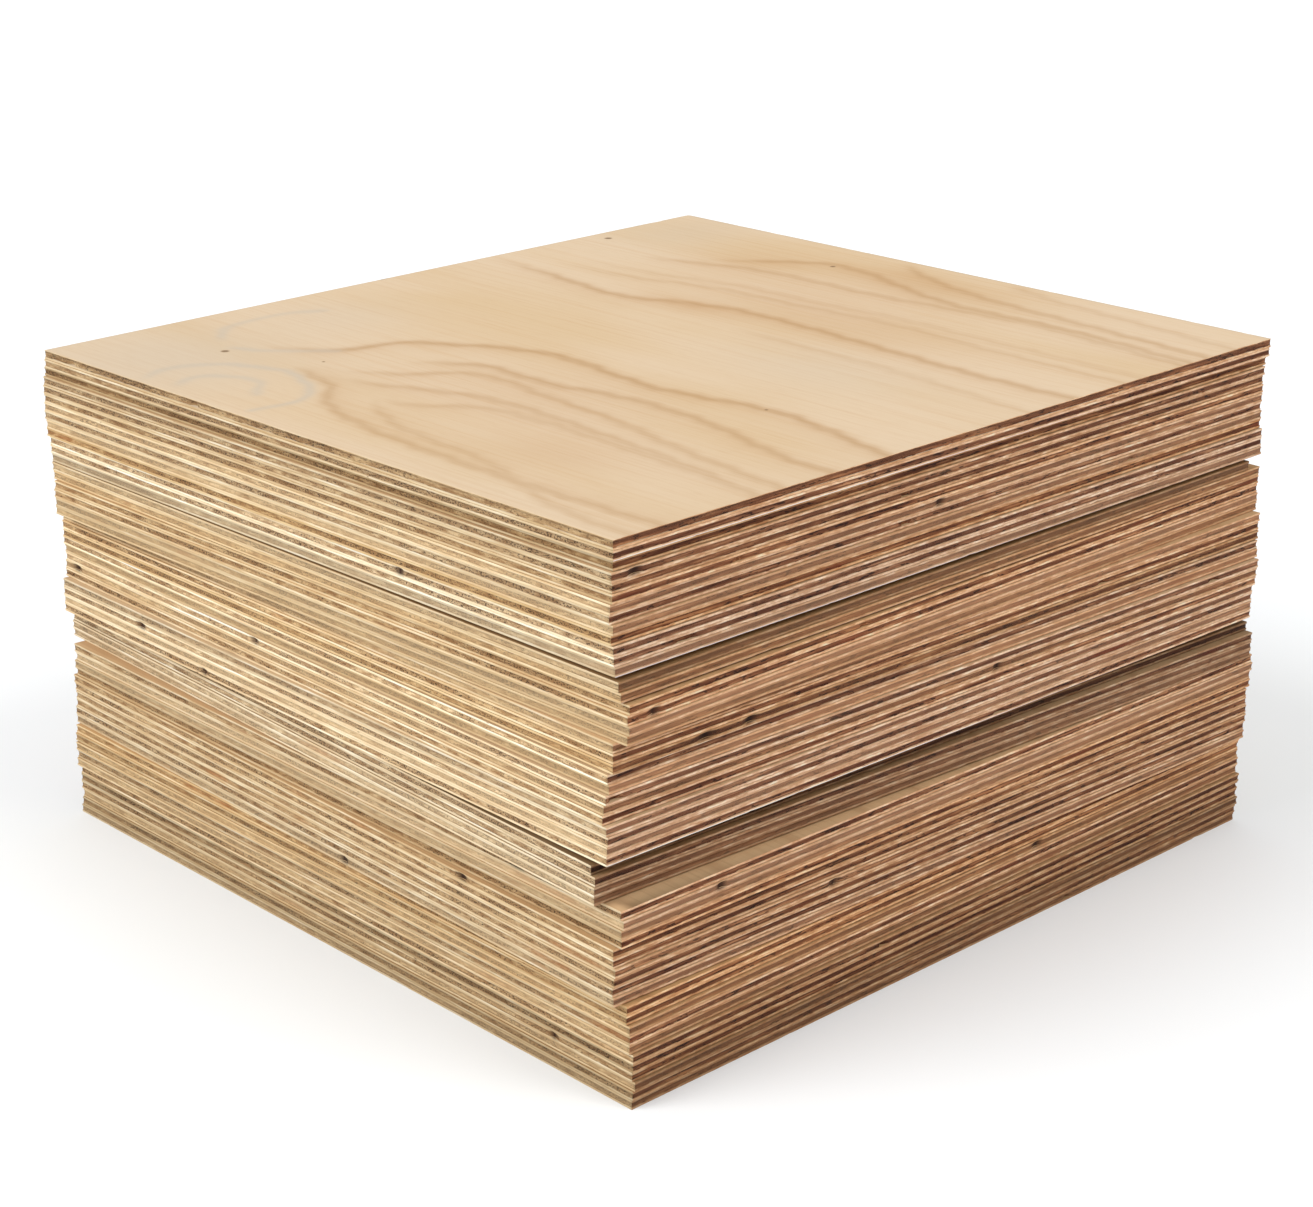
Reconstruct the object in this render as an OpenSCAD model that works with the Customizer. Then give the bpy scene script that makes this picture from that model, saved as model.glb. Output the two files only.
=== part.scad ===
// A free-standing stack of square-cut, thin plywood sheets, laid down by hand a few at a time.
// X and Y run along the two edges of a sheet, and Z is up from the floor.

/* [Sheet] */
// Length of a sheet along X, across the grain of its face plies
sheet_length = 610; // [200:5:1300]
// Width of a sheet along Y, the way the face grain runs
sheet_width = 570; // [200:5:1300]
// Thickness of a sheet
sheet_thickness = 6; // [3:0.1:12]

/* [Stack] */
// Small gap that stays between two sheets where they lie closest
seat_gap = 0.08; // [0.06:0.01:0.5]
// How much higher the top sheet stands at its +X edge, because no sheet is quite flat
fan_length = 10; // [0:0.5:30]
// How much higher the top sheet stands at its -Y edge, besides the cracks under the lifts
fan_width = 2; // [0:0.5:30]
// Farthest that one sheet slips from its own lift, in X and in Y
stray = 0.7; // [0:0.1:4]
// Farthest that one sheet turns away from its own lift, in degrees
stray_turn = 0.08; // [0:0.01:0.5]
// Number that picks how the single sheets stray
stray_seed = 7; // [1:1:99]

/* [Hidden] */
// The lifts in which the sheets were laid down, from the floor up, each as
// [sheets, slip along X, slip along Y, turn in degrees, crack below it, cut short along X].
// A crack opens at the -Y edge, or at the +Y edge where its number is negative.
LIFTS = [
    [6,   2.5,  0.5,  1.15,  0.0,  0],
    [3,   1.0,  1.5,  1.15,  0.2,  0],
    [2,   0.5,  2.5,  0.95,  0.3,  0],
    [6,  -1.0,  0.5, -0.15,  0.8,  0],
    [4,   0.5, -0.5,  0.15,  0.2,  0],
    [3,   0.0,  4.5, -1.60,  0.8,  0],
    [1,  -1.0,  9.0, -1.35,  0.2,  0],
    [4,  -5.0,  2.0, -0.30,  3.4,  0],
    [3,  -3.0,  1.5, -0.75,  0.2,  0],
    [2,  -2.5,  3.0, -0.45,  0.2,  0],
    [3,  -2.0,  3.5, -0.10,  0.2,  0],
    [4,  -4.5,  2.5,  1.25, -2.2,  0],
    [1,  -5.0,  3.5,  0.70,  1.2,  0],
    [1, -11.5,  3.5,  0.60,  0.2, 12],
    [3,  -7.0,  3.0,  0.40,  3.2,  0],
    [7,  -9.0,  5.0,  0.45,  0.3,  0],
    [1,  -6.5,  6.5,  0.45,  0.2,  0],
    [2,  -8.5,  3.5,  0.30,  0.8,  0],
];

// Face veneer colours, which follow one another up the stack.
TINTS = ["burlywood", "wheat", "tan", "navajowhite", "bisque"];

function total(values, last) = last < 0 ? 0 : values[last] + total(values, last - 1);

// The lift that each sheet belongs to, and how many sheets there are.
lift_of = [for (k = [0 : len(LIFTS) - 1]) for (j = [1 : LIFTS[k][0]]) k];
sheet_count = len(lift_of);

// Sheets are named from the floor up: sheet_01, sheet_02 and so on.
function sheet_name(i) = str("sheet_", i < 9 ? "0" : "", i + 1);

// Each sheet's own slip and turn, as shares of the farthest that it may stray.
stray_x = rands(-1, 1, sheet_count, stray_seed);
stray_y = rands(-1, 1, sheet_count, stray_seed + 100);
stray_a = rands(-1, 1, sheet_count, stray_seed + 200);

cracks = [for (lift = LIFTS) lift[4]];
cracks_behind = [for (crack = cracks) max(0, -crack)];
function share(i) = i / (sheet_count - 1);

// The sheets lie closest at the -X +Y corner. From there a sheet rises by these slopes.
function slope_x(i) = fan_length * share(i) / sheet_length;
function slope_y(i) = (fan_width * share(i) + total(cracks, lift_of[i])) / sheet_width;

function slip_x(i) = LIFTS[lift_of[i]][1] + stray * stray_x[i];
function slip_y(i) = LIFTS[lift_of[i]][2] + stray * stray_y[i];
function turn(i) = LIFTS[lift_of[i]][3] + stray_turn * stray_a[i];
function own_length(i) = sheet_length - LIFTS[lift_of[i]][5];

// Height of a sheet's middle plane over the point x, y.
function middle(i, x, y) = sheet_thickness / 2 + i * (sheet_thickness + seat_gap)
    + total(cracks_behind, lift_of[i]) + slope_x(i) * (x + sheet_length / 2) + slope_y(i) * (sheet_width / 2 - y);

// Plan outline of a sheet, which sets where the centre of the whole stack is.
function reach_x(i) = (own_length(i) * cos(turn(i)) + sheet_width * abs(sin(turn(i)))) / 2;
function reach_y(i) = (sheet_width * cos(turn(i)) + own_length(i) * abs(sin(turn(i)))) / 2;
sheets = [0 : sheet_count - 1];
centre_x = (max([for (i = sheets) slip_x(i) + reach_x(i)])
    + min([for (i = sheets) slip_x(i) - reach_x(i)])) / 2;
centre_y = (max([for (i = sheets) slip_y(i) + reach_y(i)])
    + min([for (i = sheets) slip_y(i) - reach_y(i)])) / 2;

module sheet(i) {
    color(TINTS[i % len(TINTS)])
    translate([slip_x(i) - centre_x, slip_y(i) - centre_y, middle(i, slip_x(i), slip_y(i))])
    rotate([-atan(slope_y(i)), -atan(slope_x(i)), 0])
    rotate([0, 0, turn(i)])
    cube([own_length(i), sheet_width, sheet_thickness], center = true);
}

for (i = sheets)
    sheet(i);
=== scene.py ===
"""The looks of a stack of thin three-ply sheets: sawn edges, plies, grain, floor, light and camera.

Lengths are in metres unless a name ends in _mm. Each sheet is built flat about its own centre,
with X across the face grain and Y along it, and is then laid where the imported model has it.
"""

import math
import random

import bpy
import numpy as np
from mathutils import Matrix, Vector


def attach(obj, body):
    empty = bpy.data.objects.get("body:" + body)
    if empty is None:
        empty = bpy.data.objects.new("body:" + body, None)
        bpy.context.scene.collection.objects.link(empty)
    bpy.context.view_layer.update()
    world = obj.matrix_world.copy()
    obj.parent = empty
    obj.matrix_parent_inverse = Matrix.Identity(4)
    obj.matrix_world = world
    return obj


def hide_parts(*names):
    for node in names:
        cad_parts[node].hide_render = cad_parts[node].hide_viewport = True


MM = 0.001

# --- The frame: the sheets as they are packed ---------------------------------------------------

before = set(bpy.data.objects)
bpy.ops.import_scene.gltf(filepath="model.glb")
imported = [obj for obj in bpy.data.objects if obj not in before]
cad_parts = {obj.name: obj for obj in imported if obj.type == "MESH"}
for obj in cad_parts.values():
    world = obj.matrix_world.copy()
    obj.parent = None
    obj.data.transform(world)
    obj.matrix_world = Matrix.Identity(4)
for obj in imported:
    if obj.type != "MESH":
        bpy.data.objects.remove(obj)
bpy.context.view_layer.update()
sheet_names = sorted(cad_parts)
top_sheet = sheet_names[-1]


def laid_at(name):
    """The size of a packed sheet, and the matrix that lays a flat one where it lies."""
    points = np.array([v.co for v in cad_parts[name].data.vertices], float)
    centre = (points.max(0) + points.min(0)) / 2
    corner = {}
    for side_x in (-1, 1):
        for side_y in (-1, 1):
            beyond = (points[:, :2] - centre[:2]) * (side_x, side_y) > 0
            here = beyond.all(1)
            corner[side_x, side_y] = (points[here].max(0) + points[here].min(0)) / 2
            if side_x == side_y == 1:
                height = np.ptp(points[here][:, 2])
    along_x = corner[1, 1] + corner[1, -1] - corner[-1, 1] - corner[-1, -1]
    along_y = corner[1, 1] + corner[-1, 1] - corner[1, -1] - corner[-1, -1]
    length, width = np.linalg.norm(along_x) / 2, np.linalg.norm(along_y) / 2
    x_way = Vector(along_x).normalized()
    z_way = x_way.cross(Vector(along_y)).normalized()
    y_way = z_way.cross(x_way)
    turn = Matrix((x_way, y_way, z_way)).transposed().to_4x4()
    middle = Vector(sum(corner.values()) / 4)
    return (length, width, height * z_way.z), Matrix.Translation(middle) @ turn


# --- Node graphs --------------------------------------------------------------------------------


class Graph:
    """A node tree under construction. Short calls add one node each and give back its output."""

    def __init__(self, tree):
        self.tree = tree

    def node(self, kind, inputs=None, **settings):
        made = self.tree.nodes.new(kind)
        for name, value in settings.items():
            setattr(made, name, value)
        for key, value in (inputs or {}).items():
            self.feed(made.inputs[key], value)
        return made

    def feed(self, socket, value):
        if isinstance(value, bpy.types.NodeSocket):
            self.tree.links.new(value, socket)
        else:
            socket.default_value = value

    def math(self, operation, *values, clamp=False):
        made = self.node("ShaderNodeMath", dict(enumerate(values)), operation=operation)
        made.use_clamp = clamp
        return made.outputs[0]

    def vector_math(self, operation, *values):
        made = self.node("ShaderNodeVectorMath", dict(enumerate(values)), operation=operation)
        return made.outputs[0]

    def axes(self, vector):
        return self.node("ShaderNodeSeparateXYZ", {0: vector}).outputs

    def join_axes(self, x, y, z):
        return self.node("ShaderNodeCombineXYZ", {0: x, 1: y, 2: z}).outputs[0]

    def noise(self, place, seed, scale=1.0, detail=2.0, roughness=0.5):
        inputs = {"Vector": place, "W": seed, "Scale": scale, "Detail": detail, "Roughness": roughness}
        return self.node("ShaderNodeTexNoise", inputs, noise_dimensions="4D").outputs[0]

    def step(self, value, low, high, to_low=0.0, to_high=1.0):
        """to_low below low, to_high above high, and a smooth change between them."""
        inputs = {"Value": value, "From Min": low, "From Max": high, "To Min": to_low, "To Max": to_high}
        return self.node("ShaderNodeMapRange", inputs, interpolation_type="SMOOTHSTEP").outputs[0]

    def mix(self, factor, first, second, blend="MIX"):
        made = self.node("ShaderNodeMix", data_type="RGBA", blend_type=blend)
        for socket, value in ((0, factor), (6, first), (7, second)):
            self.feed(made.inputs[socket], value)
        return made.outputs[2]

    def attribute(self, name):
        return self.node("ShaderNodeAttribute", attribute_name=name).outputs


def group_tree(name, kind, inputs, outputs):
    """A new node group with named sockets, its graph, its input sockets and its output node."""
    tree = bpy.data.node_groups.new(name, kind)
    for direction, sockets in (("INPUT", inputs), ("OUTPUT", outputs)):
        for socket_name, socket_type in sockets.items():
            kind_name = "NodeSocket" + socket_type
            tree.interface.new_socket(socket_name, in_out=direction, socket_type=kind_name)
    graph = Graph(tree)
    return graph, graph.node("NodeGroupInput").outputs, graph.node("NodeGroupOutput").inputs


def colour(red, green, blue):
    """A colour given as 0 to 255 screen values, as the linear colour that a shader takes."""
    shares = [value / 255 for value in (red, green, blue)]
    return tuple(c / 12.92 if c < 0.04045 else ((c + 0.055) / 1.055) ** 2.4 for c in shares) + (1,)


# --- Shader groups ------------------------------------------------------------------------------


def sawn_wood_group():
    """Streaks along the grain, broad patches, and the short dark flecks of torn and open pores."""
    inputs = {"Place": "Vector", "Stretch": "Vector", "Fleck Stretch": "Vector",
              "Seed": "Float", "Fleck": "Float"}
    outputs = {"Streak": "Float", "Patch": "Float", "Fleck": "Float", "Height": "Float"}
    graph, given, result = group_tree("sawn wood", "ShaderNodeTree", inputs, outputs)
    grain = graph.vector_math("MULTIPLY", given["Place"], given["Stretch"])
    short = graph.vector_math("MULTIPLY", given["Place"], given["Fleck Stretch"])
    streak = graph.noise(grain, given["Seed"], 1.0, 3.0, 0.65)
    fine = graph.noise(short, graph.math("ADD", given["Seed"], 3.1), 2.0, 2.0, 0.6)
    patch = graph.noise(given["Place"], graph.math("ADD", given["Seed"], 7.7), 11.0, 2.0, 0.5)
    dash = graph.noise(short, graph.math("ADD", given["Seed"], 11.3), 1.0, 2.0, 0.6)
    crowd = graph.math("MULTIPLY", given["Fleck"], graph.step(patch, 0.3, 0.62, 0.6, 1.0))
    edge = graph.math("SUBTRACT", 0.78, graph.math("MULTIPLY", crowd, 0.24))
    fleck = graph.step(graph.math("SUBTRACT", dash, edge), 0.0, 0.07)
    height = graph.math("SUBTRACT", graph.math("MULTIPLY", fine, 0.6), fleck)
    for name, value in (("Streak", streak), ("Patch", patch), ("Fleck", fleck), ("Height", height)):
        graph.feed(result[name], value)
    return graph.tree


LIGHTEST_WOOD = colour(250, 243, 228)  # no tone makes a colour lighter than this


def sheet_tone_group():
    """Shifts a colour to the sheet's own tone and warmth.

    Tone runs from -1 dark to 1 light, and goes below -1 where the shade of a crack is painted on. Warmth
    runs from -1 grey to 1 red.
    """
    inputs = {"Colour": "Color", "Tone": "Float", "Warmth": "Float"}
    graph, given, result = group_tree("sheet tone", "ShaderNodeTree", inputs, {"Colour": "Color"})
    light = graph.math("MULTIPLY_ADD", given["Tone"], 0.4, 1.0)
    lit = graph.mix(1.0, given["Colour"], graph.join_axes(light, light, light), "MULTIPLY")
    share = graph.math("MULTIPLY_ADD", given["Warmth"], 0.5, 0.5, clamp=True)
    cast = graph.mix(share, (0.95, 1.01, 1.16, 1), (1.06, 0.96, 0.83, 1))
    toned = graph.mix(1.0, lit, cast, "MULTIPLY")
    graph.feed(result["Colour"], graph.mix(1.0, toned, LIGHTEST_WOOD, "DARKEN"))
    return graph.tree


sawn_wood = sawn_wood_group()
sheet_tone = sheet_tone_group()


# --- Materials ----------------------------------------------------------------------------------

HALF_SHEET_MM = 3.0
VENEER_MM = 1.45  # thickness of a face ply
WORN_MM = 1.0  # how much thinner the face ply of the top sheet is
ARRIS_MM = 0.06  # height of the worn corner along each face


def new_finish(name):
    """An empty material and its graph, with the wood's own coordinates, seed and tint."""
    material = bpy.data.materials.new(name)
    material.use_nodes = True
    material.node_tree.nodes.clear()
    graph = Graph(material.node_tree)
    place = graph.attribute("place")["Vector"]
    tint = graph.axes(graph.attribute("tint")["Vector"])
    seed = graph.attribute("seed")["Fac"]
    return material, graph, place, tint, seed


def finish_surface(graph, base, rough, height, bump_mm):
    """The Principled shader of bare wood, with its relief as bump."""
    bump = graph.node("ShaderNodeBump", {"Height": height, "Strength": 1.0, "Distance": bump_mm * MM})
    inputs = {"Base Color": base, "Roughness": rough, "Normal": bump.outputs[0]}
    shader = graph.node("ShaderNodeBsdfPrincipled", inputs)
    shader.inputs["Specular IOR Level"].default_value = 0.28
    output = graph.node("ShaderNodeOutputMaterial")
    graph.feed(output.inputs["Surface"], shader.outputs[0])


PAINTED_HIGHLIGHT = colour(250, 240, 232)  # a painted highlight: the bright line where light catches the lower arris of a few sheets
PAINTED_HIGHLIGHT_MM = (0.2, 0.9)  # heights over the lower face between which that painted highlight fades out
GLUE_MM = (0.1, 0.4)  # distances from the joint between which the glue line fades out
EVEN_WOOD = colour(220, 193, 148), colour(196, 148, 108)  # of the edges along Y, and along X
KNOT_BROWN = colour(52, 28, 16)


def edge_finish(name, shades, fleck_colour, grain, fleck, side, bump_mm):
    """A sawn edge: side is 0 where a face looks along X, and 1 where it looks along Y."""
    material, graph, place, tint, seed = new_finish(name)
    pale, mid, dark, stain = shades
    wood = graph.node("ShaderNodeGroup", node_tree=sawn_wood)
    inputs = {"Place": place, "Stretch": grain[0], "Fleck Stretch": grain[1], "Seed": seed, "Fleck": fleck}
    for key, value in inputs.items():
        graph.feed(wood.inputs[key], value)
    base = graph.mix(graph.step(wood.outputs["Streak"], 0.40, 0.66), mid, dark)
    base = graph.mix(graph.step(wood.outputs["Streak"], 0.48, 0.30), base, pale)
    base = graph.mix(graph.step(wood.outputs["Patch"], 0.42, 0.72, 0.0, 0.55), base, dark)
    base = graph.mix(graph.step(wood.outputs["Patch"], 0.36, 0.28, 0.0, 0.6), base, stain)
    base = graph.mix(graph.math("MULTIPLY", wood.outputs["Fleck"], 0.85), base, fleck_colour)
    x, _, z = graph.axes(place)
    off_glue = graph.math("SUBTRACT", graph.math("ABSOLUTE", z), (HALF_SHEET_MM - VENEER_MM) * MM)
    glue = graph.step(graph.math("ABSOLUTE", off_glue), GLUE_MM[0] * MM, GLUE_MM[1] * MM, 0.3, 0.0)
    base = graph.mix(glue, base, fleck_colour)
    # The plies of some sheets hardly differ.
    chance = graph.node("ShaderNodeTexWhiteNoise", {"W": seed}, noise_dimensions="1D").outputs[0]
    base = graph.mix(graph.step(chance, 0.5, 0.95, 0.0, 0.45), base, EVEN_WOOD[side])
    # Painted highlight along the lower arris of the -Y side, strongest near the -X end, over a crack.
    if side == 1:
        low = graph.step(z, (PAINTED_HIGHLIGHT_MM[0] - HALF_SHEET_MM) * MM, (PAINTED_HIGHLIGHT_MM[1] - HALF_SHEET_MM) * MM, 1.0, 0.0)
        near = graph.step(x, -0.15, 0.25, 1.0, 0.15)
        line = graph.math("MULTIPLY", low, near)
        line = graph.math("MULTIPLY", line, graph.attribute("painted_highlight_below")["Fac"])
        base = graph.mix(line, base, PAINTED_HIGHLIGHT)
    base = graph.mix(graph.attribute("knot")["Fac"], base, KNOT_BROWN)
    toned = graph.node("ShaderNodeGroup", node_tree=sheet_tone)
    # The -Y and +Y sides are redder on the darker sheets, so the painted shade of the cracks is reddish
    # too.
    warmth = graph.math("MULTIPLY_ADD", tint[1], -0.9 * side, tint[2])
    for key, value in {"Colour": base, "Tone": tint[side], "Warmth": warmth}.items():
        graph.feed(toned.inputs[key], value)
    rough = graph.step(wood.outputs["Streak"], 0.2, 0.8, 0.7, 0.92)
    finish_surface(graph, toned.outputs[0], rough, wood.outputs["Height"], bump_mm)
    return material


# How closely the marks lie along X, Y and Z, in waves a metre: first streaks, then flecks.
GRAIN_ALONG_X = ((22.0, 500.0, 500.0), (150.0, 800.0, 800.0))
GRAIN_ALONG_Y = ((500.0, 22.0, 500.0), (800.0, 120.0, 800.0))
GRAIN_END_ON = ((100.0, 100.0, 420.0), (850.0, 850.0, 1400.0))

veneer_side = edge_finish(
    "veneer_side",
    (colour(245, 233, 204), colour(234, 215, 175), colour(206, 176, 131), colour(212, 174, 122)),
    colour(120, 84, 50), GRAIN_ALONG_Y, 0.5, 0, 0.12)
veneer_end = edge_finish(
    "veneer_end",
    (colour(255, 226, 190), colour(242, 199, 156), colour(198, 146, 104), colour(196, 140, 94)),
    colour(96, 58, 36), GRAIN_END_ON, 0.5, 1, 0.15)
core_end = edge_finish(
    "core_end",
    (colour(214, 186, 142), colour(190, 158, 114), colour(148, 112, 74), colour(166, 106, 58)),
    colour(46, 28, 16), GRAIN_END_ON, 1.1, 0, 0.35)
core_side = edge_finish(
    "core_side",
    (colour(188, 134, 90), colour(138, 86, 54), colour(82, 42, 24), colour(114, 46, 20)),
    colour(38, 16, 8), GRAIN_ALONG_X, 1.0, 1, 0.3)


def face_finish():
    """The face veneer of the sheets whose faces are mostly covered. Its colours are partly duller
    wood and partly painted shade of the cracks and ledges where it shows.
    """
    material, graph, place, tint, seed = new_finish("face_veneer")
    sway = graph.noise(graph.vector_math("MULTIPLY", place, (4.0, 1.6, 1.0)), seed, 1.0, 1.0)
    across = graph.math("MULTIPLY_ADD", sway, 0.16, graph.axes(place)[0])
    rings = graph.math("PINGPONG", graph.math("MULTIPLY", across, 34.0), 1.0)
    line = graph.step(rings, 0.72, 0.98)
    streak = graph.noise(graph.vector_math("MULTIPLY", place, (420.0, 9.0, 60.0)), seed, 1.0, 3.0, 0.6)
    base = graph.mix(graph.math("MULTIPLY", line, 0.5), colour(190, 156, 114), colour(166, 128, 88))
    base = graph.mix(graph.step(streak, 0.45, 0.8, 0.0, 0.4), base, colour(152, 116, 78))
    # The faces take the -Y tone, and with it the painted shade of the cracks.
    toned = graph.node("ShaderNodeGroup", node_tree=sheet_tone)
    warmth = graph.math("MULTIPLY_ADD", tint[1], -0.9, tint[2])
    for key, value in {"Colour": base, "Tone": tint[1], "Warmth": warmth}.items():
        graph.feed(toned.inputs[key], value)
    finish_surface(graph, toned.outputs[0], 0.72, streak, 0.05)
    return material


face_veneer = face_finish()

# Growth lines of the top veneer, from the back edge to the front. Each has a strength and points
# as shares of the sheet: across from the -X edge, and forward from the +Y edge. The honey tint
# lies on the -X side of a line, or on the +X side where its strength is negative.
GROWTH_LINES = [
    (-0.7, [(0.155, 0.27), (0.15, 0.31), (0.135, 0.37), (0.09, 0.43), (0.07, 0.51), (0.06, 0.60),
            (0.055, 0.80), (0.06, 1.01)]),
    (-0.5, [(0.14, 0.44), (0.10, 0.52), (0.085, 0.60), (0.075, 0.72), (0.03, 0.88), (0.02, 1.01)]),
    (0.5, [(0.14, 0.45), (0.155, 0.51), (0.195, 0.56), (0.205, 0.66), (0.20, 0.80), (0.185, 1.01)]),
    (0.6, [(0.15, 0.33), (0.18, 0.42), (0.215, 0.51), (0.225, 0.60), (0.215, 0.76), (0.20, 0.90),
           (0.18, 1.01)]),
    (0.6, [(0.17, 0.31), (0.215, 0.385), (0.26, 0.425), (0.28, 0.48), (0.27, 0.58), (0.26, 0.70),
           (0.235, 0.84), (0.215, 1.01)]),
    (0.8, [(0.25, 0.35), (0.29, 0.40), (0.305, 0.44), (0.305, 0.54), (0.325, 0.65), (0.32, 0.78),
           (0.29, 0.92), (0.285, 1.01)]),
    (1.0, [(0.18, 0.17), (0.205, 0.22), (0.24, 0.255), (0.30, 0.275), (0.34, 0.33), (0.375, 0.40),
           (0.388, 0.47), (0.378, 0.57), (0.374, 0.65), (0.397, 0.79), (0.388, 0.88),
           (0.36, 1.01)]),
    (0.9, [(0.65, 0.0), (0.64, 0.13), (0.625, 0.28), (0.65, 0.36), (0.672, 0.44), (0.672, 0.56),
           (0.66, 0.72), (0.65, 0.86), (0.65, 1.01)]),
    (0.35, [(0.61, 0.50), (0.605, 0.66), (0.60, 0.80), (0.575, 1.01)]),
    (0.4, [(0.69, 0.08), (0.70, 0.22), (0.73, 0.34), (0.74, 0.48), (0.75, 0.64), (0.74, 0.80),
           (0.735, 1.01)]),
    (0.3, [(0.72, 0.10), (0.735, 0.24), (0.76, 0.36), (0.765, 0.50), (0.775, 0.62), (0.77, 0.78),
           (0.765, 1.01)]),
    (0.6, [(0.79, 0.14), (0.80, 0.20), (0.83, 0.29), (0.84, 0.38), (0.84, 0.50), (0.85, 0.62),
           (0.862, 0.76), (0.85, 0.88), (0.835, 1.01)]),
    (0.8, [(0.83, 0.22), (0.87, 0.28), (0.905, 0.325), (0.922, 0.37), (0.915, 0.44), (0.885, 0.54),
           (0.868, 0.64), (0.87, 0.80), (0.85, 1.01)]),
    (0.7, [(0.99, 0.42), (0.955, 0.49), (0.93, 0.57), (0.912, 0.68), (0.90, 0.82), (0.88, 1.01)]),
    (0.4, [(0.995, 0.60), (0.97, 0.68), (0.955, 0.80), (0.93, 1.01)]),
]
# Faint grey curls near the -X +Y corner.
GREY_CURLS = [
    (0.9, [(0.0, 0.20), (0.05, 0.175), (0.10, 0.20), (0.135, 0.27), (0.125, 0.34), (0.08, 0.395),
           (0.02, 0.39)]),
    (0.7, [(0.01, 0.25), (0.05, 0.23), (0.08, 0.25), (0.09, 0.30), (0.06, 0.34)]),
    (0.7, [(0.16, 0.12), (0.20, 0.07), (0.28, 0.06), (0.33, 0.08)]),
    (0.7, [(0.15, 0.14), (0.18, 0.20), (0.23, 0.25)]),
]
# Darker honey patches: place as above, reach across and along in millimetres, and strength.
HONEY_PATCHES = [
    (0.14, 0.75, 26, 50, 0.45), (0.65, 0.38, 18, 50, 0.5), (0.77, 0.48, 60, 120, 0.3),
    (0.92, 0.50, 30, 90, 0.5), (0.70, 0.62, 30, 110, 0.3), (0.25, 0.55, 60, 110, 0.25),
    (0.86, 0.27, 40, 50, 0.3),
]
# Greyer patches, given in the same way.
GREY_PATCHES = [
    (0.08, 0.14, 80, 90, 0.5), (0.92, 0.08, 60, 50, 0.35), (0.55, 0.72, 45, 80, 0.3),
    (0.33, 0.12, 50, 50, 0.25),
]
LINE_WIDTH_MM = 4.0
HONEY_WIDTH_MM = 11.0  # reach of the honey tint on its own side of a line
HONEY_EDGE_MM = 6.0  # and its softer reach on the other side
LINE_FADE = 0.15  # share of its length over which a line grows to full strength
# Pin knots of the top veneer: place as above, and radius in millimetres.
PIN_KNOTS = [
    (0.14, 0.158, 3.0), (0.19, 0.28, 1.2), (0.827, 0.031, 3.2), (0.914, 0.37, 2.2), (0.396, 0.789, 1.3),
]


def top_finish():
    """The face veneer of the top sheet, whose growth lines and knots all show."""
    material, graph, place, _, seed = new_finish("top_veneer")
    marks = graph.axes(graph.attribute("marks")["Vector"])
    cloud = graph.noise(graph.vector_math("MULTIPLY", place, (9.0, 3.0, 1.0)), seed, 1.0, 2.0)
    streak = graph.noise(graph.vector_math("MULTIPLY", place, (300.0, 6.0, 1.0)), seed, 1.0, 3.0, 0.6)
    fibre = graph.noise(graph.vector_math("MULTIPLY", place, (900.0, 60.0, 1.0)), seed, 1.0, 2.0, 0.5)
    pale, warm, deep = colour(211, 189, 161), colour(203, 176, 138), colour(182, 139, 92)
    base = graph.mix(graph.step(cloud, 0.38, 0.72, 0.1, 0.8), pale, warm)
    base = graph.mix(graph.math("MULTIPLY", marks[1], 0.55), base, deep)
    base = graph.mix(graph.step(streak, 0.42, 0.8, 0.0, 0.22), base, deep)
    broken = graph.step(streak, 0.25, 0.6, 0.65, 1.0)
    line = graph.math("MULTIPLY", graph.math("MULTIPLY", marks[0], broken), 0.38)
    base = graph.mix(line, base, colour(160, 124, 78))
    base = graph.mix(graph.math("MULTIPLY", marks[2], 0.75), base, colour(190, 177, 159))
    base = graph.mix(graph.step(fibre, 0.5, 0.8, 0.0, 0.16), base, colour(176, 140, 96))
    for across, forward, radius_mm in PIN_KNOTS:
        inputs = {0: place, 1: top_place(across, forward)}
        away = graph.node("ShaderNodeVectorMath", inputs, operation="DISTANCE").outputs["Value"]
        inside = graph.step(away, radius_mm * MM * 0.5, radius_mm * MM * 1.3, 0.85, 0.0)
        base = graph.mix(inside, base, colour(120, 92, 62))
    finish_surface(graph, base, graph.step(streak, 0.2, 0.8, 0.55, 0.75), streak, 0.04)
    return material


top_size, top_lay = laid_at(top_sheet)


def top_place(across, forward):
    """A point on the top sheet's upper face, in the sheet's own coordinates."""
    return Vector(((across - 0.5) * top_size[0], (0.5 - forward) * top_size[1], top_size[2] / 2))


top_veneer = top_finish()


# --- The sheet, as a geometry tree --------------------------------------------------------------

SPACING_MM = 3.0  # distance between the points along an edge
ROWS = 9  # rows of points up an edge
FLAT_ENOUGH = 0.93  # a face whose normal points further up or down than this has the face finish


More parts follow.
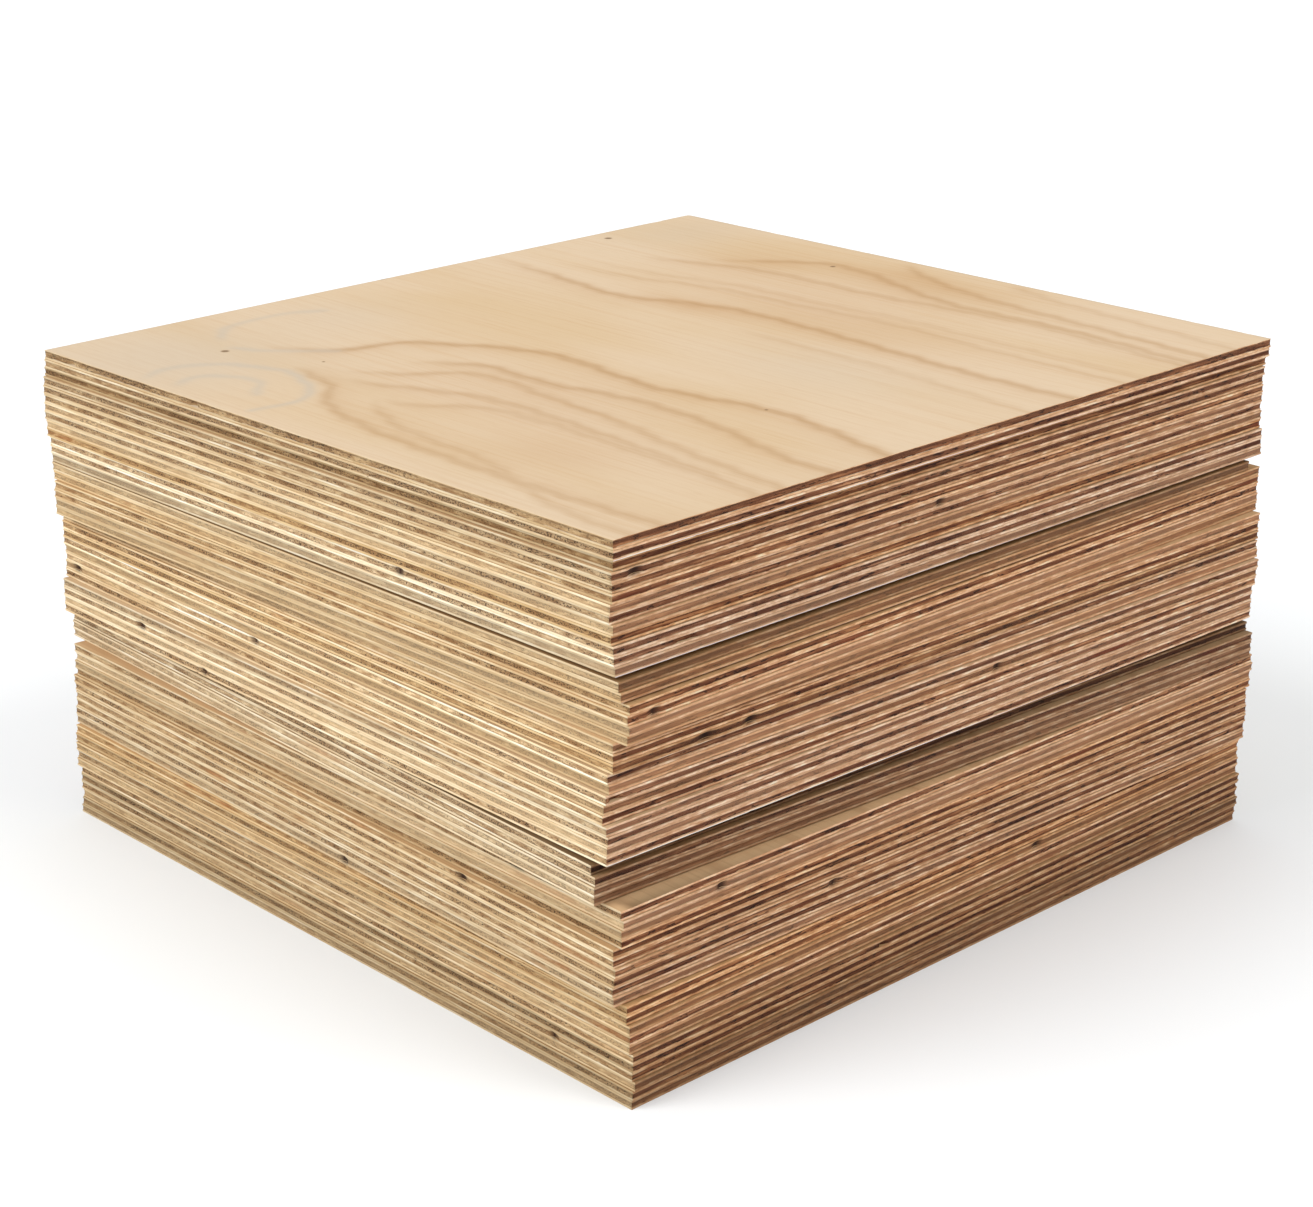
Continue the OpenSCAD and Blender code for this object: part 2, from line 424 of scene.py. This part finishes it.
def sheet_tree():
    """One sheet: a box with points along its edges, plies that stand in steps, chips and voids."""
    inputs = {"Length": "Float", "Width": "Float", "Thickness": "Float", "Seed": "Float", "Tint": "Vector",
              "Whole Top": "Bool", "Top Ply Worn": "Float", "Painted Highlight Below": "Float", "Top Finish": "Material"}
    graph, given, result = group_tree("plywood sheet", "GeometryNodeTree", inputs, {"Geometry": "Geometry"})
    half = [graph.math("MULTIPLY", given[name], 0.5) for name in ("Length", "Width", "Thickness")]

    def count(length):
        return graph.math("ADD", graph.math("ROUND", graph.math("DIVIDE", length, SPACING_MM * MM)), 1.0)

    size = graph.join_axes(given["Length"], given["Width"], given["Thickness"])
    box = graph.node("GeometryNodeMeshCube", {"Size": size, "Vertices X": count(given["Length"]),
                                              "Vertices Y": count(given["Width"]), "Vertices Z": ROWS})
    # The upper and lower faces go, apart from the upper one of the sheet whose face all shows.
    up = graph.axes(graph.node("GeometryNodeInputNormal").outputs["Normal"])[2]
    below = graph.math("LESS_THAN", up, -0.5)
    above = graph.math("MULTIPLY", graph.math("GREATER_THAN", up, 0.5),
                       graph.math("SUBTRACT", 1.0, given["Whole Top"]))
    gone = graph.math("MAXIMUM", below, above)
    inputs = {"Geometry": box.outputs[0], "Selection": gone}
    band = graph.node("GeometryNodeDeleteGeometry", inputs, domain="FACE")

    place = graph.node("GeometryNodeInputPosition").outputs[0]
    x, y, z = graph.axes(place)
    row = graph.math("DIVIDE", graph.math("ABSOLUTE", z), half[2])
    # The rows stand at the middle, just inside and outside the glue line, below the arris and at the face.
    upper = graph.math("MULTIPLY", graph.math("GREATER_THAN", z, 0.0), given["Top Ply Worn"])
    veneer = graph.math("MULTIPLY_ADD", upper, -WORN_MM * MM, VENEER_MM * MM)
    core_share = graph.math("SUBTRACT", 1.0, graph.math("DIVIDE", veneer, half[2]))
    arris_share = graph.math("SUBTRACT", 1.0, graph.math("DIVIDE", ARRIS_MM * MM, half[2]))
    heights = ((0.25, graph.math("SUBTRACT", core_share, 0.02)), (0.5, graph.math("ADD", core_share, 0.02)),
               (0.75, arris_share), (1.0, 1.0))
    share = 0.0
    for at_row, height in heights:
        share = graph.math("MULTIPLY_ADD", graph.math("COMPARE", row, at_row, 0.1), height, share)

    on_x = graph.math("GREATER_THAN", graph.math("ABSOLUTE", x), graph.math("SUBTRACT", half[0], 1e-5))
    on_y = graph.math("GREATER_THAN", graph.math("ABSOLUTE", y), graph.math("SUBTRACT", half[1], 1e-5))
    is_core = graph.math("LESS_THAN", row, 0.3)
    is_rim = graph.math("GREATER_THAN", row, 0.9)
    ply_line = graph.math("COMPARE", row, 0.375, 0.15)

    def field(scale, seed_shift, detail=1.0):
        seed = graph.math("ADD", given["Seed"], seed_shift)
        return graph.noise(graph.vector_math("MULTIPLY", place, scale), seed, 1.0, detail)

    # How far each point lies behind the sawn face, in millimetres.
    rough = graph.math("MULTIPLY_ADD", field((260, 260, 500), 1.0), 0.9, -0.1)
    rough = graph.math("MULTIPLY", is_core, rough)
    void = graph.math("MULTIPLY", is_core, graph.step(field((42, 42, 90), 2.0), 0.70, 0.76, 0.0, 2.6))
    chip = graph.step(field((75, 75, 160), 3.0, 2.0), 0.60, 0.70, 0.0, 1.0)
    chip = graph.math("MULTIPLY", chip, graph.math("MULTIPLY_ADD", on_y, 0.6, 0.35))
    chip = graph.math("MULTIPLY", chip, graph.step(row, 0.45, 1.0, 0.0, 1.0))
    wave = graph.math("MULTIPLY", field((9, 9, 60), 4.0), 0.25)
    rim = graph.math("MULTIPLY", is_rim, ARRIS_MM)
    depth = rough
    for part in (void, chip, wave, rim):
        depth = graph.math("ADD", depth, part)
    depth = graph.math("MULTIPLY", graph.math("MAXIMUM", depth, 0.0), MM)

    lift = graph.math("MULTIPLY", ply_line, graph.math("MULTIPLY_ADD", field((30, 30, 1), 5.0), 0.6, -0.3))
    lift = graph.math("MULTIPLY", lift, MM)
    side = graph.math("MAXIMUM", on_x, on_y)
    new_z = graph.math("MULTIPLY", graph.math("MULTIPLY", share, half[2]), graph.math("SIGN", z))
    move_z = graph.math("MULTIPLY", side, graph.math("ADD", graph.math("SUBTRACT", new_z, z), lift))
    inward = [graph.math("MULTIPLY", graph.math("MULTIPLY", on, graph.math("SIGN", axis)),
                         graph.math("MULTIPLY", depth, -1.0)) for on, axis in ((on_x, x), (on_y, y))]
    sawn = graph.node("GeometryNodeSetPosition", {"Geometry": band.outputs[0],
                                                  "Offset": graph.join_axes(inward[0], inward[1], move_z)})

    # Flat faces close the band above and below.
    edge_faces = graph.node("GeometryNodeInputMeshEdgeNeighbors").outputs[0]
    open_edge = graph.math("COMPARE", edge_faces, 1.0, 0.1)
    parts = graph.node("GeometryNodeJoinGeometry")
    for way in (1, -1):
        this_side = graph.math("GREATER_THAN", graph.math("MULTIPLY", z, way), 0.0)
        wanted = graph.math("MULTIPLY", open_edge, this_side)
        rim_curve = graph.node("GeometryNodeMeshToCurve", {"Mesh": sawn.outputs[0], "Selection": wanted})
        cap = graph.node("GeometryNodeFillCurve", {"Curve": rim_curve.outputs[0]}, mode="NGONS")
        raised = graph.join_axes(0.0, 0.0, graph.math("MULTIPLY", half[2], way))
        placed = graph.node("GeometryNodeSetPosition", {"Geometry": cap.outputs[0], "Offset": raised})
        last = placed.outputs[0]
        if way < 0:
            last = graph.node("GeometryNodeFlipFaces", {"Mesh": last}).outputs[0]
        graph.tree.links.new(last, parts.inputs[0])
    graph.tree.links.new(sawn.outputs[0], parts.inputs[0])
    inputs = {"Geometry": parts.outputs[0], "Distance": 1e-6}
    whole = graph.node("GeometryNodeMergeByDistance", inputs).outputs[0]

    # Each face takes its finish from the ply that it is on and from the way that it looks.
    normal = graph.axes(graph.node("GeometryNodeInputNormal").outputs["Normal"])
    fx, fy, fz = graph.axes(graph.node("GeometryNodeInputPosition").outputs[0])
    level = graph.math("DIVIDE", graph.math("ABSOLUTE", fz), half[2])
    slant = [graph.math("ABSOLUTE", axis) for axis in normal]
    is_face = graph.math("GREATER_THAN", slant[2], FLAT_ENOUGH)
    is_end = graph.math("GREATER_THAN", slant[1], slant[0])
    worn = graph.math("MULTIPLY", graph.math("GREATER_THAN", fz, 0.0), given["Top Ply Worn"])
    ply = graph.math("MULTIPLY_ADD", worn, -WORN_MM * MM, VENEER_MM * MM)
    level = graph.math("ADD", level, graph.math("DIVIDE", ply, half[2]))
    in_core = graph.math("LESS_THAN", level, 1.005)
    on_edge = graph.math("SUBTRACT", 1.0, is_face)
    last = graph.node("GeometryNodeSetMaterial", {"Geometry": whole, "Material": veneer_side}).outputs[0]
    for selection, finish in (
        (is_end, veneer_end),
        (in_core, core_end),
        (graph.math("MULTIPLY", in_core, is_end), core_side),
        (is_face, face_veneer),
        (graph.math("GREATER_THAN", normal[2], FLAT_ENOUGH), given["Top Finish"]),
    ):
        if selection in (is_end, in_core):
            selection = graph.math("MULTIPLY", selection, on_edge)
        inputs = {"Geometry": last, "Selection": selection, "Material": finish}
        last = graph.node("GeometryNodeSetMaterial", inputs).outputs[0]

    for name, kind, value in (("place", "FLOAT_VECTOR", graph.node("GeometryNodeInputPosition").outputs[0]),
                              ("tint", "FLOAT_VECTOR", given["Tint"]), ("seed", "FLOAT", given["Seed"]),
                              ("painted_highlight_below", "FLOAT", given["Painted Highlight Below"])):
        store = graph.node("GeometryNodeStoreNamedAttribute", data_type=kind, domain="POINT")
        for key, item in {"Geometry": last, "Name": name, "Value": value}.items():
            graph.feed(next(s for s in store.inputs if s.name == key and s.enabled), item)
        last = store.outputs[0]
    smooth = graph.node("GeometryNodeSetShadeSmooth", {"Geometry": last}, domain="FACE")
    realized = graph.node("GeometryNodeRealizeInstances", {"Geometry": smooth.outputs[0]})
    graph.feed(result["Geometry"], realized.outputs[0])
    return graph.tree


# --- Tones of the single sheets -----------------------------------------------------------------

# Sheets that stand out, from the floor up: tone of the -X side, tone of the -Y side and the faces,
# and warmth. Tones below -1, and the dark -Y tones of the lowest sheets, are painted shade.
TINTS_AND_PAINTED_SHADE = {
    1: (-0.4, -1.2, 0.2), 2: (-0.6, -1.0, 0.5), 3: (0.0, -1.3, 0.2), 4: (-0.1, -0.9, 0.2),
    5: (-0.7, -0.8, 0.5), 6: (0.2, -0.8, 0.1), 7: (0.1, -0.5, 0.2), 9: (0.1, -0.5, 0.5),
    10: (-0.4, -0.1, 0.9), 11: (0.0, -0.1, 0.9), 18: (-0.4, 0.1, 0.6), 20: (0.2, 0.2, -0.3),
    21: (-0.1, 0.3, 0.0), 22: (0.4, -0.9, -0.7), 23: (0.4, -0.8, -0.8), 24: (0.4, -1.0, -0.8),
    25: (0.3, -1.6, -0.7), 26: (0.5, 0.3, -0.4), 27: (0.4, 0.2, -0.4), 28: (0.7, 0.3, -0.7),
    29: (0.0, 0.4, -0.6), 30: (0.3, 0.3, -0.1), 32: (0.9, 0.3, -0.7), 34: (1.0, -0.2, -0.6),
    35: (0.0, -0.7, 0.8), 40: (0.0, 0.4, 0.3), 41: (-0.1, -0.1, 0.5), 42: (0.1, -0.4, 0.4),
    43: (0.0, -1.2, -0.1), 44: (-0.2, -0.1, -0.7), 45: (0.8, 0.2, -0.9), 46: (0.9, 0.2, -0.9),
    47: (-0.2, -0.2, 1.0), 50: (0.4, 0.1, -0.2), 54: (-0.8, -0.6, 0.9), 56: (-0.3, 0.0, 0.3),
}
PAINTED_HIGHLIGHT_SHEETS = {55: 0.8, 44: 0.75, 42: 0.25, 26: 0.85}  # strength of the painted highlight along the lower arris
TINT_SPREAD = 0.35  # how far the other sheets stray from an even tone
LOW_PAINTED_SHADE = 0.35  # how much darker painted shade makes the -X side of the lowest sheet than halfway up the stack

# Open knots in the edges: sheet, side (0 for -X, 1 for -Y), place as a share of the way from the
# -X -Y corner, and half length in millimetres.
EDGE_KNOTS = [
    (21, 0, 0.16, 7), (17, 0, 0.24, 5), (32, 0, 0.60, 4), (28, 0, 0.83, 5), (31, 0, 0.975, 5),
    (26, 0, 0.70, 3), (53, 1, 0.03, 5), (40, 1, 0.035, 4), (35, 1, 0.12, 7), (35, 1, 0.18, 5),
    (20, 1, 0.13, 4), (31, 1, 0.55, 4), (46, 0, 0.33, 4), (12, 0, 0.45, 4), (9, 1, 0.62, 5),
    (15, 1, 0.30, 4), (4, 0, 0.12, 3), (50, 1, 0.45, 4),
]
KNOT_DEPTH_MM = 1.6
KNOT_REACH_MM = 4.0  # points this near the side belong to it
KNOT_HEIGHT_MM = 2.2  # half the height of a knot


def tint_of(number, dice):
    """The three tint numbers of a sheet. Every sheet draws its dice, whether or not it needs them."""
    strays = [dice.uniform(-TINT_SPREAD, TINT_SPREAD) for _ in range(3)]
    side, end, warmth = TINTS_AND_PAINTED_SHADE.get(number, strays)
    # The -X side of the lower half of the stack gets painted shade.
    return side - LOW_PAINTED_SHADE * max(0.0, 1 - 2 * number / len(sheet_names)), end, warmth


def cut_knots(mesh, number, length, width):
    """Hollows the core where a knot has dropped out of the edge, and marks its dark walls."""
    count = len(mesh.vertices)
    places = np.empty(count * 3, np.float32)
    mesh.vertices.foreach_get("co", places)
    places = places.reshape(-1, 3)
    dark = np.zeros(count, np.float32)
    for sheet, side, share, half_mm in EDGE_KNOTS:
        if sheet != number:
            continue
        edge, run, run_length = (length, 1, width) if side == 0 else (width, 0, length)
        on_side = places[:, side] < -edge / 2 + KNOT_REACH_MM * MM
        away = np.abs(places[:, run] - (share - 0.5) * run_length) / (half_mm * MM)
        in_core = np.abs(places[:, 2]) < KNOT_HEIGHT_MM * MM
        amount = np.where(on_side & in_core, np.clip(1.3 - away, 0, 1), 0)
        places[:, side] += amount * KNOT_DEPTH_MM * MM
        dark = np.maximum(dark, amount)
    mesh.vertices.foreach_set("co", places.ravel())
    mesh.attributes.new("knot", "FLOAT", "POINT").data.foreach_set("value", dark.astype(np.float32))


# --- Building the sheets ------------------------------------------------------------------------


def set_inputs(modifier, values):
    """Sets a geometry modifier's inputs by the identifiers of their sockets."""
    for item in modifier.node_group.interface.items_tree:
        if item.item_type == "SOCKET" and item.in_out == "INPUT" and item.name in values:
            modifier[item.identifier] = values[item.name]


def mesh_of(name, tree, values):
    """The mesh that a geometry tree makes from these inputs."""
    carrier = bpy.data.objects.new(name + "_carrier", bpy.data.meshes.new(name + "_seed"))
    bpy.context.scene.collection.objects.link(carrier)
    modifier = carrier.modifiers.new("shape", "NODES")
    modifier.node_group = tree
    set_inputs(modifier, values)
    bpy.context.view_layer.update()
    evaluated = carrier.evaluated_get(bpy.context.evaluated_depsgraph_get())
    mesh = bpy.data.meshes.new_from_object(evaluated)
    bpy.data.objects.remove(carrier)
    mesh.name = name
    return mesh


def store_marks(mesh):
    """Stores how dark the growth lines, the honey tint beside them and the grey curls are."""
    places = np.empty(len(mesh.vertices) * 3, np.float32)
    mesh.attributes["place"].data.foreach_get("vector", places)
    points = places.reshape(-1, 3)[:, :2] / MM
    marks = np.zeros((len(points), 3))
    for lines, channel in ((GROWTH_LINES, 0), (GREY_CURLS, 2)):
        for strength, shares in lines:
            route = smooth_route([top_place(*share).xy / MM for share in shares])
            gap, along = distance_to(route, points)
            # Small waves, so that no line runs quite smoothly.
            gap += 0.9 * np.sin(points[:, 1] / 7.0) + 0.6 * np.sin(points[:, 1] / 3.1 + strength * 9)
            fade = abs(strength) * np.clip(along / LINE_FADE, 0, 1)
            marks[:, channel] = np.maximum(marks[:, channel], fade * np.exp(-((gap / LINE_WIDTH_MM) ** 2)))
            if channel == 0:
                inner = gap * -np.sign(strength)
                outside = np.exp(-((gap / HONEY_EDGE_MM) ** 2))
                honey = np.where(inner > 0, np.exp(-inner / HONEY_WIDTH_MM), outside)
                marks[:, 1] = np.maximum(marks[:, 1], 0.75 * fade * honey)
    for patches, channel in ((HONEY_PATCHES, 1), (GREY_PATCHES, 2)):
        for across, forward, reach_x, reach_y, strength in patches:
            offset = (points - np.array(top_place(across, forward).xy / MM)) / (reach_x, reach_y)
            marks[:, channel] += strength * np.exp(-(offset**2).sum(1))
    attribute = mesh.attributes.new("marks", "FLOAT_VECTOR", "POINT")
    attribute.data.foreach_set("vector", np.clip(marks, 0, 1).astype(np.float32).ravel())


def distance_to(route, points):
    """How far each point is from a route of straight pieces, and its share of the way along.

    The distance is signed: it is negative on one side of the route.
    """
    nearest = np.full(len(points), 1e6)
    along = np.zeros(len(points))
    pieces = len(route) - 1
    for i, (start, end) in enumerate(zip(route[:-1], route[1:])):
        way = end - start
        share = np.clip(((points - start) @ way) / (way @ way), 0, 1)
        offset = points - start - share[:, None] * way
        gap = np.hypot(*offset.T) * np.sign(way[0] * offset[:, 1] - way[1] * offset[:, 0])
        closer = np.abs(gap) < np.abs(nearest)
        nearest[closer] = gap[closer]
        along[closer] = (i + share[closer]) / pieces
    return nearest, along


def smooth_route(points, pieces=8):
    """A smooth curve through the points, as short straight pieces (Catmull-Rom)."""
    points = [2 * points[0] - points[1], *points, 2 * points[-1] - points[-2]]
    route = []
    for a, b, c, d in zip(points, points[1:], points[2:], points[3:]):
        for k in range(pieces):
            t = k / pieces
            route.append(0.5 * (2 * b + (c - a) * t + (2 * a - 5 * b + 4 * c - d) * t**2
                                + (3 * b - a - 3 * c + d) * t**3))
    route.append(points[-2])
    return [np.array(p) for p in route]


def build_sheets():
    tree = sheet_tree()
    dice = random.Random(56)
    for number, name in enumerate(sheet_names, 1):
        is_top = name == top_sheet
        (length, width, thickness), lay = laid_at(name)
        values = {"Length": length, "Width": width, "Thickness": thickness, "Seed": number * 13.7,
                  "Tint": tint_of(number, dice), "Whole Top": is_top, "Top Ply Worn": float(is_top),
                  "Painted Highlight Below": PAINTED_HIGHLIGHT_SHEETS.get(number, 0.0),
                  "Top Finish": top_veneer if is_top else face_veneer}
        mesh = mesh_of(name + "_ply", tree, values)
        cut_knots(mesh, number, length, width)
        if is_top:
            store_marks(mesh)
        mesh.transform(lay)
        piece = bpy.data.objects.new(name + "_ply", mesh)
        bpy.context.scene.collection.objects.link(piece)
        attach(piece, "root")
        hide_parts(name)


build_sheets()


# --- Floor, light and camera --------------------------------------------------------------------


def build_floor():
    mesh = bpy.data.meshes.new("floor")
    reach = 40.0
    corners = [(-reach, -reach, 0), (reach, -reach, 0), (reach, reach, 0), (-reach, reach, 0)]
    mesh.from_pydata(corners, [], [(0, 1, 2, 3)])
    material = bpy.data.materials.new("pale_floor")
    material.use_nodes = True
    shader = material.node_tree.nodes["Principled BSDF"]
    shader.inputs["Base Color"].default_value = (0.70, 0.72, 0.735, 1)
    shader.inputs["Roughness"].default_value = 0.9
    shader.inputs["Emission Color"].default_value = (0.98, 0.99, 1, 1)
    shader.inputs["Emission Strength"].default_value = 0.2
    mesh.materials.append(material)
    floor = bpy.data.objects.new("floor", mesh)
    bpy.context.scene.collection.objects.link(floor)


def add_light(name, towards, strength, spread, tone):
    """A distant soft light that comes from the direction given; spread is its width in degrees."""
    lamp = bpy.data.lights.new(name, "SUN")
    lamp.energy = strength
    lamp.angle = math.radians(spread)
    lamp.color = tone
    light = bpy.data.objects.new(name, lamp)
    light.rotation_euler = Vector(towards).to_track_quat("Z", "Y").to_euler()
    bpy.context.scene.collection.objects.link(light)


def build_light():
    add_light("key", (-1.0, 0.35, 0.86), 2.0, 34, (1.0, 1.0, 0.99))
    add_light("fill", (0.35, -1.0, 1.3), 0.85, 24, (1.0, 0.975, 0.94))
    world = bpy.data.worlds.new("studio")
    world.use_nodes = True
    graph = Graph(world.node_tree)
    # The sky grows brighter from the horizon up, so that little light reaches into the cracks.
    way_up = graph.axes(graph.node("ShaderNodeTexCoord").outputs["Generated"])[2]
    strength = graph.step(way_up, 0.1, 1.0, 0.2, 0.95)
    graph.feed(world.node_tree.nodes["Background"].inputs["Strength"], strength)
    world.node_tree.nodes["Background"].inputs["Color"].default_value = (1, 1, 1, 1)
    bpy.context.scene.world = world
    bpy.context.scene.view_settings.view_transform = "Standard"


CAMERA_PLACE = Vector((-1.2868, -1.3457, 0.8474))
CAMERA_HEADING = math.radians(43.665)  # turned from +Y towards +X
CAMERA_PITCH = math.radians(-20.17)
CAMERA_ROLL = math.radians(1.167)
CAMERA_LENS = 77.08  # millimetres, on a sensor 36 mm wide


def build_camera():
    ahead = Vector((math.sin(CAMERA_HEADING) * math.cos(CAMERA_PITCH),
                    math.cos(CAMERA_HEADING) * math.cos(CAMERA_PITCH), math.sin(CAMERA_PITCH)))
    level = Vector((math.cos(CAMERA_HEADING), -math.sin(CAMERA_HEADING), 0))
    upright = level.cross(ahead)
    right = level * math.cos(CAMERA_ROLL) + upright * math.sin(CAMERA_ROLL)
    over = upright * math.cos(CAMERA_ROLL) - level * math.sin(CAMERA_ROLL)
    data = bpy.data.cameras.new("camera")
    data.sensor_width = 36
    data.lens = CAMERA_LENS
    camera = bpy.data.objects.new("camera", data)
    turn = Matrix((right, over, -ahead)).transposed().to_4x4()
    camera.matrix_world = Matrix.Translation(CAMERA_PLACE) @ turn
    bpy.context.scene.collection.objects.link(camera)
    bpy.context.scene.camera = camera


build_floor()
build_light()
build_camera()
